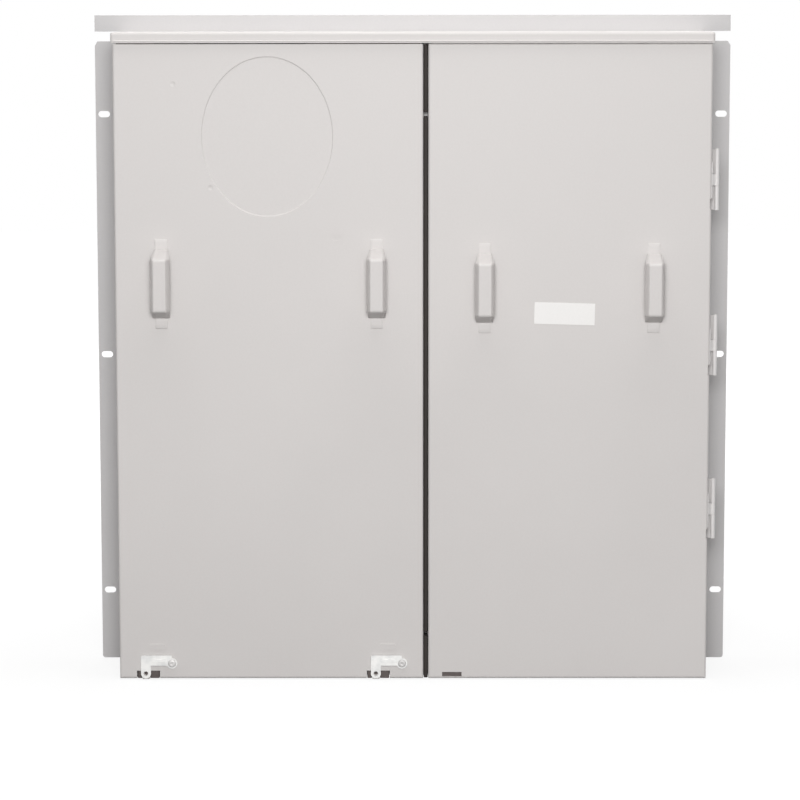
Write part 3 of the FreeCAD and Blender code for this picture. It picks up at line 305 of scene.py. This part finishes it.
# %% Node group: plated metal
BLOOMS_PER_METRE = 90.0
BLOOM_LOW, BLOOM_HIGH = 0.38, 0.68
DULL_HIGH = 0.7
MARK_DISTANCE = 0.0001


def plated_group():
    """Streaks = noise squeezed across one axis; bloom = slow noise that dulls some patches."""
    group, given, result = new_group(
        "plated_metal",
        [("Colour", "Color", (0.7, 0.7, 0.7, 1)), ("Bloom", "Color", (0.5, 0.5, 0.5, 1)),
         ("Streaks", "Vector", (60.0, 60.0, 900.0)), ("Roughness low", "Float", 0.25),
         ("Roughness high", "Float", 0.45), ("Mark depth", "Float", 0.1)],
        [("Colour", "Color"), ("Roughness", "Float"), ("Normal", "Vector")])
    place = group.nodes.new("ShaderNodeTexCoord").outputs["Object"]
    cloud = noise_in(group, place, BLOOMS_PER_METRE, 3.0)
    patch = share_in(group, cloud, BLOOM_LOW, BLOOM_HIGH)
    colour = mix_in(group, patch, given.outputs["Colour"], given.outputs["Bloom"])
    group.links.new(colour, result.inputs["Colour"])
    gloss_out(group, given, result, cloud, DULL_HIGH)
    squeeze = group.nodes.new("ShaderNodeVectorMath")
    squeeze.operation = "MULTIPLY"
    group.links.new(place, squeeze.inputs[0])
    group.links.new(given.outputs["Streaks"], squeeze.inputs[1])
    marks = noise_in(group, squeeze.outputs[0], 1.0, 2.0)
    bump_out(group, result, marks, given.outputs["Mark depth"], MARK_DISTANCE)
    return group


PLATED = plated_group()
print("node group", PLATED.name)

# %% [markdown]
# Each finish is a material of its own: the group gives what changes over the surface, and
# a value that is the same all over is set on the shader's own socket.

# %% Materials
def finish(name, group, values, **constants):
    """A material: a node group feeds the shader's colour, roughness and normal."""
    material = bpy.data.materials.new(name)
    material.use_nodes = True
    tree = material.node_tree
    shader = tree.nodes["Principled BSDF"]
    for title, value in constants.items():
        shader.inputs[title.replace("_", " ")].default_value = value
    source = tree.nodes.new("ShaderNodeGroup")
    source.node_tree = group
    for title, value in values.items():
        source.inputs[title].default_value = value
    tree.links.new(source.outputs["Colour"], shader.inputs["Base Color"])
    tree.links.new(source.outputs["Roughness"], shader.inputs["Roughness"])
    tree.links.new(source.outputs["Normal"], shader.inputs["Normal"])
    return material


def tone(red, green, blue):
    """A colour written as on screen, 0 to 255, turned into the linear values of shaders."""
    screen = np.array([red, green, blue]) / 255
    linear = np.where(screen <= 0.04045, screen / 12.92, ((screen + 0.055) / 1.055) ** 2.4)
    return (*map(float, linear), 1.0)


FINISHES = {}


def coated(name, colour, shade, pebbles, height, gloss, specular=0.5):
    """A paint or a plastic skin. Pebbles are per metre; gloss is its low and high roughness."""
    FINISHES[name] = finish(name, POWDER_COAT, {
        "Colour": tone(*colour), "Shade": tone(*shade), "Pebble per metre": pebbles,
        "Pebble height": height, "Roughness low": gloss[0], "Roughness high": gloss[1]},
        Specular_IOR_Level=specular)


def plated(name, colour, bloom, streaks, gloss, marks, metallic):
    """A plated or bare metal. Streaks are counted per metre along each axis."""
    FINISHES[name] = finish(name, PLATED, {
        "Colour": tone(*colour), "Bloom": tone(*bloom), "Streaks": streaks,
        "Roughness low": gloss[0], "Roughness high": gloss[1], "Mark depth": marks},
        Metallic=metallic)


coated("enclosure_paint", (212, 208, 206), (208, 204, 202), 900.0, 0.16, (0.44, 0.52), 0.3)
# The back panel's coat is cooler, and darker as painted shade on its side flanges.
coated("back_paint", (201, 199, 199), (196, 194, 194), 900.0, 0.16, (0.46, 0.54), 0.25)
coated("inner_paint", (201, 197, 195), (195, 191, 189), 900.0, 0.2, (0.5, 0.62), 0.35)
# The hinges are painted lighter than the box's coat, partly as painted light on the shaded strip
# between the door's edge and the barrels.
coated("hinge_steel", (225, 222, 221), (217, 214, 213), 1100.0, 0.15, (0.36, 0.46), 0.45)
plated("zinc", (220, 219, 217), (198, 198, 197), (700.0, 120.0, 120.0), (0.4, 0.54), 0.25, 0.6)
plated("dull_zinc", (204, 202, 200), (190, 188, 187), (700.0, 120.0, 120.0), (0.5, 0.62), 0.15, 0.3)
plated("aluminium", (206, 208, 211), (186, 188, 191), (90.0, 90.0, 1200.0), (0.3, 0.5), 0.3, 1.0)
plated("brass", (206, 186, 142), (170, 148, 106), (500.0, 500.0, 90.0), (0.25, 0.42), 0.2, 1.0)
coated("insulator", (52, 50, 49), (44, 42, 42), 2200.0, 0.12, (0.42, 0.58))
coated("breaker_plastic", (46, 46, 48), (39, 39, 41), 1500.0, 0.3, (0.38, 0.5))
coated("toggle_plastic", (78, 78, 80), (70, 70, 72), 1500.0, 0.1, (0.25, 0.35))
# These two are not coats of the box: painted shade, dark and grey, for the blocks and strips that
# fill the gaps and openings.
coated("painted_shade_dark", (66, 61, 59), (57, 53, 51), 1800.0, 0.9, (0.8, 0.95), 0.2)
coated("painted_shade_grey", (109, 102, 100), (98, 91, 89), 1800.0, 0.6, (0.8, 0.95), 0.2)
coated("label", (236, 234, 232), (232, 230, 228), 1600.0, 0.04, (0.3, 0.4))
print(len(FINISHES), "finishes")

# %% [markdown]
# The CAD record names a slot for each node, and a finish of the same name fills it. Two nodes look
# different from the rest of their slot: the back panel, a separate sheet with a cooler coat that is
# also darker as painted shade on its flanges, and the two small screws behind the centre gap, whose
# plating is dull.

# %% Finishes on the CAD nodes
for row in frame["record"]["subparts"]:
    thing = nodes[row["node"]]
    thing.data.materials.clear()
    thing.data.materials.append(FINISHES[row["material_slot"]])
nodes["back_panel"].data.materials[0] = FINISHES["back_paint"]
nodes["mullion_screws"].data.materials[0] = FINISHES["dull_zinc"]

# %% [markdown]
# A pull handle is one strip of sheet, bent down to two feet, with wings pressed back along
# its sides. Its section is carried along the path of the strip, so the wings follow the
# legs down to the cover and the bends stay round.

# %% Handle values
COVER_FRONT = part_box("hinged_door")[0].y
SHEET = 0.0015
GRIP_FLAT = 0.0056
GRIP_RIM = 0.0012
GRIP_HALF_HEIGHT = 0.0275
GRIP_PROUD = COVER_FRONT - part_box("cover_handle_left")[0].y
WING_DEPTH = 0.0115
WING_FLARE = 0.0031
FOOT_START = 0.0372
FOOT_END = 0.0488
FOOT_LAP = 0.0006
FOOT_HALF_WIDTH = GRIP_FLAT + GRIP_RIM * 0.9
FOOT_ROWS, FOOT_COLUMNS = 4, 7
HANDLE_BEND = 0.0022
BEND_ALLOWANCE = 0.0004
BEND_STEPS = 6
RIM_TURN = math.radians(70)
FLAT_SHARES = (0, 0.5, 0.9)
WING_SHARES = np.array([0.04, 0.35, 0.7, 0.96, 1.0])
UPPER_TAPER = 0.92
LOWER_TAPER = 0.3
EDGE_ROUND = 0.0004
EDGE_ANGLE = 50
HANDLE_ANGLE = 40
print("handles stand out", round(GRIP_PROUD * 1000, 1), "mm")

# %% [markdown]
# Everything that the scene adds is computed as rows and columns of points, then closed into
# faces. A grid of quads bends without creases and is easy to shade smoothly, so one helper
# makes the faces of a grid, one closes a tube and one gives blocks their soft edges.

# %% Surface helpers
CUSHION_STEPS = 4


def grid_faces(rows, columns, closed=False):
    """Quads of a grid of rows by columns of points. Closed: its last column joins its first."""
    last = columns if closed else columns - 1
    row, column = np.meshgrid(np.arange(rows - 1), np.arange(last), indexing="ij")
    after = (column + 1) % columns
    quads = [row * columns + column, row * columns + after,
             (row + 1) * columns + after, (row + 1) * columns + column]
    return np.stack(quads, -1).reshape(-1, 4).tolist()


def tube(rings):
    """Points and faces of a closed tube through rings (rows, columns, 3), capped at both ends."""
    rows, around = rings.shape[:2]
    caps = [list(range(around))[::-1], list(range((rows - 1) * around, rows * around))]
    return rings.reshape(-1, 3), grid_faces(rows, around, closed=True) + caps


def cushion(low, high, round_end=0.0006, power=6.0, sides=32):
    """A soft-edged block from one corner to the other, carried along Z.

    Section: |x/a|^p + |y/b|^p = 1. Towards each end it draws in along a quarter circle.
    """
    low, high = np.asarray(low, float), np.asarray(high, float)
    middle, reach = (low + high) / 2, (high - low) / 2
    angle = np.linspace(0, 2 * math.pi, sides, endpoint=False)
    across = np.sign(np.cos(angle)) * np.abs(np.cos(angle)) ** (2 / power)
    deep = np.sign(np.sin(angle)) * np.abs(np.sin(angle)) ** (2 / power)
    turn = np.linspace(0, math.pi / 2, CUSHION_STEPS)
    inset = np.concatenate([1 - np.sin(turn), (1 - np.sin(turn))[::-1]]) * round_end
    rise = round_end * (1 - np.cos(turn))
    height = np.concatenate([low[2] + rise, high[2] - rise[::-1]])
    x = middle[0] + (reach[0] - inset)[:, None] * across
    y = middle[1] + (reach[1] - inset)[:, None] * deep
    return tube(np.stack(np.broadcast_arrays(x, y, height[:, None]), -1))


def piece(name, parts):
    """One object from several (points, faces) pairs."""
    points, faces = [], []
    for some_points, some_faces in parts:
        start = sum(map(len, points))
        points.append(some_points)
        faces += [[start + index for index in face] for face in some_faces]
    return surface(name, np.concatenate(points), faces)


def smooth(thing, material, body, angle=50):
    """Shade a piece smoothly but for its sharp edges, and give it its finish, body and slot."""
    thing.data.polygons.foreach_set("use_smooth", np.ones(len(thing.data.polygons), bool))
    thing.data.set_sharp_from_angle(angle=math.radians(angle))
    thing.data.materials.append(FINISHES[material])
    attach(thing, body)
    return thing


def apply_modifiers(thing):
    """Keep the modified shape as plain mesh."""
    bpy.context.view_layer.update()
    evaluated = thing.evaluated_get(bpy.context.evaluated_depsgraph_get())
    mesh = bpy.data.meshes.new_from_object(evaluated)
    thing.modifiers.clear()
    thing.data = mesh


def rounded_path(corners, radius, steps):
    """A path of straight runs whose corners are arcs.

    Each arc touches both of its runs at radius * tan(half its turn) from the corner.
    """
    corners = np.asarray(corners, float)
    points = [corners[:1]]
    for before, corner, after in zip(corners, corners[1:], corners[2:]):
        inward = (before - corner) / np.linalg.norm(before - corner)
        onward = (after - corner) / np.linalg.norm(after - corner)
        half_turn = (math.pi - math.acos(np.clip(inward @ onward, -1, 1))) / 2
        bisector = (inward + onward) / np.linalg.norm(inward + onward)
        centre = corner + bisector * radius / math.cos(half_turn)
        sweep = np.linspace(-half_turn, half_turn, steps)[:, None]
        side = (onward - inward) / np.linalg.norm(onward - inward)
        points.append(centre + radius * (np.sin(sweep) * side - np.cos(sweep) * bisector))
    points.append(corners[-1:])
    return hold_straights(np.concatenate(points))


def hold_straights(path, near=0.0004):
    """Add a point near each end of a run over six times as long, so that shading stops at bends."""
    out = [path[0]]
    for start, end in zip(path, path[1:]):
        length = np.linalg.norm(end - start)
        if length > 6 * near:
            inset = (end - start) * near / length
            out += [start + inset, end - inset]
        out.append(end)
    return np.array(out)


# %% [markdown]
# The strip is drawn as one thin skin of points. A Solidify modifier then gives it the steel's
# thickness, and a Bevel rounds its cut edges as the press leaves them. Both are applied, so
# that the finished handle is plain mesh like every other piece.

# %% Pull handles
def winged_strip():
    """The strip between its feet: a section carried along the path z(s), d(s), d being the depth.

    Section: x = flat + r sin(t) and d + r (1 - cos(t)) over the rim, then a straight wing that
    is WING_DEPTH deep and opens by WING_FLARE. No depth goes past the cover. Down the upper
    leg the flare shrinks by UPPER_TAPER, and down the lower one by LOWER_TAPER.
    """
    seat = GRIP_PROUD - SHEET / 2
    grip_end = GRIP_HALF_HEIGHT + BEND_ALLOWANCE
    run = [(seat, -FOOT_START), (SHEET / 2, -grip_end), (SHEET / 2, grip_end), (seat, FOOT_START)]
    depth, height = rounded_path(run, HANDLE_BEND, BEND_STEPS).T
    turn = np.linspace(0, RIM_TURN, BEND_STEPS)
    flats, rims, wings = len(FLAT_SHARES), len(turn), len(WING_SHARES)
    reach = np.concatenate([np.zeros(flats), np.sin(turn), np.full(wings, math.sin(RIM_TURN))])
    across = np.concatenate([FLAT_SHARES, np.ones(rims + wings)]) * GRIP_FLAT + GRIP_RIM * reach
    rim_back = GRIP_RIM * (1 - np.cos(turn))
    back = np.concatenate([np.zeros(flats), rim_back, WING_SHARES * WING_DEPTH])
    opened = np.concatenate([np.zeros(flats + rims), WING_SHARES * WING_FLARE])
    leg = np.clip((depth - SHEET / 2) / (seat - SHEET / 2), 0, 1)
    narrow = 1 - np.where(height > 0, UPPER_TAPER, LOWER_TAPER) * leg
    x = across + opened * narrow[:, None]
    y = np.minimum(depth[:, None] + back, seat)
    x = np.concatenate([-x[:, :0:-1], x], 1)
    y = np.concatenate([y[:, :0:-1], y], 1)
    return np.stack([x, y - GRIP_PROUD, np.broadcast_to(height[:, None], x.shape)], -1)


def make_handle(name, node, body):
    """One handle: its winged strip and its two feet, all given the sheet's thickness."""
    low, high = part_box(node)
    middle = np.array([(low.x + high.x) / 2, COVER_FRONT, (low.z + high.z) / 2])
    strip = winged_strip()
    parts = [(strip.reshape(-1, 3) + middle, grid_faces(*strip.shape[:2]))]
    across = np.linspace(-1, 1, FOOT_COLUMNS) * FOOT_HALF_WIDTH
    foot = np.linspace(FOOT_START - FOOT_LAP, FOOT_END, FOOT_ROWS)
    for side in (-1, 1):
        x, z = np.meshgrid(across, (foot * side)[::-side])
        flat = np.stack([x, np.full(x.shape, -SHEET / 2), z], -1)
        parts.append((flat.reshape(-1, 3) + middle, grid_faces(*flat.shape[:2])))
    thing = piece(name, parts)
    wall = thing.modifiers.new("wall", "SOLIDIFY")
    wall.thickness = SHEET
    wall.offset = 0.0
    edge = thing.modifiers.new("edge", "BEVEL")
    edge.width = EDGE_ROUND
    edge.segments = 2
    edge.limit_method = "ANGLE"
    edge.angle_limit = math.radians(EDGE_ANGLE)
    apply_modifiers(thing)
    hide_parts(node)
    return smooth(thing, "enclosure_paint", body, HANDLE_ANGLE)


for node, body in (("cover_handle_left", "cover"), ("cover_handle_right", "cover"),
                   ("door_handle_left", "door"), ("door_handle_right", "door")):
    handle = make_handle("pressed_" + node, node, body)
    print(handle.name, len(handle.data.polygons), "faces")

# %% [markdown]
# The gap between the two covers, the notches under the latches and the door's small slot all look
# into deep shade. Dark blocks stand there as painted shade: a long strip in the gap, cut away round
# the two screws behind it, and soft blocks behind the openings. Thin strips paint the line under
# the roof's lip too. Over the cover that line is painted shade, dark in the middle and paler at
# both ends; over the door a pale strip is painted light on it.

# %% Painted shade values
STRIP_DEPTH = 0.004
STRIP_FOOT = 0.0006
STRIP_TOP_GAP = 0.001
CLEAR = 0.0005
SCREW_CLEAR = 0.0024
TAB_MIDDLE = 0.0055
TAB_HALF = 0.0044
NOTCH_BLOCK_LEFT, NOTCH_BLOCK_RIGHT = 0.0095, 0.0148
NOTCH_BLOCK_FRONT, NOTCH_BLOCK_BACK = 0.0022, 0.0085
NOTCH_BLOCK_FOOT, NOTCH_BLOCK_TOP = 0.0004, 0.0112
BRIDGE_HALF, BRIDGE_FOOT = 0.0046, 0.0018
SLOT_START = 0.0154
SLOT_BLOCK_START, SLOT_BLOCK_END = SLOT_START - 0.002, SLOT_START + 0.0236
SLOT_BLOCK_FOOT, SLOT_BLOCK_TOP, SLOT_BLOCK_BACK = 0.00155, 0.0095, 0.006
COVER_SHADE_DROP, COVER_SHADE_HEIGHT = 0.0011, 0.003
COVER_SHADE_SETBACK, COVER_SHADE_ROUND = 0.0009, 0.0002
LIP_END_GAP = 0.004
LIP_FRONT, LIP_BACK = 0.0003, 0.004
LIP_FOOT, LIP_TOP, LIP_ROUND = 0.0001, 0.0007, 0.0001

COVER_LOW, COVER_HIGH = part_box("meter_cover")
DOOR_LOW, DOOR_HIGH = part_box("hinged_door")
COVER_SHADE_END = COVER_HIGH.x - COVER_LOW.x - 0.003
print("centre gap", round((DOOR_LOW.x - COVER_HIGH.x) * 1000, 2), "mm wide")


# %% Painted shade strips and blocks
def gap_shade_strip():
    """Three lengths of dark strip with soft edges, from just behind the covers' faces to the
    mullion: painted shade for the deep gap.
    """
    screws_low, screws_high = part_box("mullion_screws")
    radius = (screws_high.x - screws_low.x) / 2
    lower, upper = screws_low.z + radius, screws_high.z - radius
    spans = [(STRIP_FOOT, lower - SCREW_CLEAR), (lower + SCREW_CLEAR, upper - SCREW_CLEAR),
             (upper + SCREW_CLEAR, DOOR_HIGH.z - STRIP_TOP_GAP)]
    left, front = COVER_HIGH.x + CLEAR, COVER_FRONT + STRIP_DEPTH
    right, back = DOOR_LOW.x - CLEAR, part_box("mullion")[0].y
    lengths = [cushion((left, front, start), (right, back, end)) for start, end in spans]
    return smooth(piece("gap_shade_strip", lengths), "painted_shade_dark", "casing")


def notch_shade_block(side):
    """A dark block astride the seal tab, painted shade in the notch: two legs beside it and a
    bridge behind it.
    """
    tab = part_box("latch_" + side)[0].x + TAB_MIDDLE
    front, back = COVER_FRONT + NOTCH_BLOCK_FRONT, COVER_FRONT + NOTCH_BLOCK_BACK
    spans = [(-NOTCH_BLOCK_LEFT, -TAB_HALF, NOTCH_BLOCK_FOOT), (TAB_HALF, NOTCH_BLOCK_RIGHT, NOTCH_BLOCK_FOOT),
             (-BRIDGE_HALF, BRIDGE_HALF, BRIDGE_FOOT)]
    parts = [cushion((tab + start, front, foot), (tab + end, back, NOTCH_BLOCK_TOP))
             for start, end, foot in spans]
    return smooth(piece("notch_shade_block_" + side, parts), "painted_shade_grey", "casing")


def slot_shade_block():
    """A dark block inside the door, behind its drain slot: painted shade seen through the slot."""
    part = cushion((DOOR_LOW.x + SLOT_BLOCK_START, DOOR_LOW.y + SHEET, DOOR_LOW.z + SLOT_BLOCK_FOOT),
                   (DOOR_LOW.x + SLOT_BLOCK_END, DOOR_LOW.y + SLOT_BLOCK_BACK, DOOR_LOW.z + SLOT_BLOCK_TOP))
    return smooth(piece("slot_shade_block", [part]), "painted_shade_grey", "door")


def lip_shade_strip(name, start, end, material):
    """A length of thin strip along the top of the lift-off cover, coloured as painted shade under
    the roof's lip.
    """
    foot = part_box("roof_hood")[0].z - COVER_SHADE_DROP
    part = cushion((COVER_LOW.x + start, COVER_LOW.y + COVER_SHADE_SETBACK, foot),
                   (COVER_LOW.x + end, COVER_LOW.y + SHEET, foot + COVER_SHADE_HEIGHT),
                   COVER_SHADE_ROUND)
    return smooth(piece(name, [part]), material, "cover")


def lip_light_strip():
    """A pale strip behind the roof's lip, just above the top of the door: painted light on the
    shaded line there.
    """
    part = cushion((DOOR_LOW.x + LIP_END_GAP, DOOR_LOW.y + LIP_FRONT, DOOR_HIGH.z + LIP_FOOT),
                   (DOOR_HIGH.x - LIP_END_GAP, DOOR_LOW.y + LIP_BACK, DOOR_HIGH.z + LIP_TOP),
                   LIP_ROUND)
    return smooth(piece("lip_light_strip", [part]), "inner_paint", "casing")


for part in (gap_shade_strip(), notch_shade_block("left"), notch_shade_block("right"), slot_shade_block(), lip_light_strip(),
             lip_shade_strip("lip_shade_strip_left", 0.004, 0.045, "painted_shade_grey"),
             lip_shade_strip("lip_shade_strip_middle", 0.0451, 0.21, "painted_shade_dark"),
             lip_shade_strip("lip_shade_strip_right", 0.2101, COVER_SHADE_END, "painted_shade_grey")):
    print(part.name, len(part.data.polygons), "faces")

# %% [markdown]
# The latches turn on tubular rivets. A rivet is a turned part: one profile, spun about its
# axis, with a soft dome and the shallow dimple that the riveting punch leaves.

# %% Latch rivets
HEAD_RADIUS, HEAD_UNDERSIDE = 0.0045, 0.0044
HEAD_HEIGHT = 0.0018
NECK_RADIUS = 0.0025
DOME_POWER = 3.2
DIMPLE_DEPTH = 0.0007
DIMPLE_SPREAD = 0.33
INNERMOST_SHARE, DOME_STEPS = 0.04, 14


def spun(name, centre, radius, depth, sides=32):
    """A surface of revolution about Y: x = r cos(a), z = r sin(a), y = depth, along the profile."""
    angle = np.linspace(0, 2 * math.pi, sides, endpoint=False)
    x = centre[0] + radius[:, None] * np.cos(angle)
    z = centre[2] + radius[:, None] * np.sin(angle)
    y = np.broadcast_to(centre[1] + depth[:, None], x.shape)
    return piece(name, [tube(np.stack([x, y, z], -1))])


def make_rivet(side):
    """Head: a dome of superellipse section with a dimple, then the neck down to the cover.

    With s the share of the radius, dome: y = h (1 - sqrt(1 - s^p)), dimple: y = d exp(-(s / w)^2).
    """
    node = "latch_rivet_" + side
    low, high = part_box(node)
    centre = ((low.x + high.x) / 2, low.y, (low.z + high.z) / 2)
    share = np.linspace(INNERMOST_SHARE, 1, DOME_STEPS)
    dome = HEAD_HEIGHT * (1 - (1 - share ** DOME_POWER) ** 0.5)
    dimple = DIMPLE_DEPTH * np.exp(-(share / DIMPLE_SPREAD) ** 2)
    radius = np.concatenate([share * HEAD_RADIUS, [HEAD_UNDERSIDE, NECK_RADIUS, NECK_RADIUS]])
    depth = np.concatenate([dome + dimple, [HEAD_HEIGHT, HEAD_HEIGHT, high.y - low.y]])
    rivet = spun("domed_" + node, centre, radius, depth)
    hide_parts(node)
    return smooth(rivet, "dull_zinc", "cover")


for side in ("left", "right"):
    print(make_rivet(side).name)

# %% [markdown]
# The last step brings the scene up to date before the frame takes it over.

# %% End
bpy.context.view_layer.update()
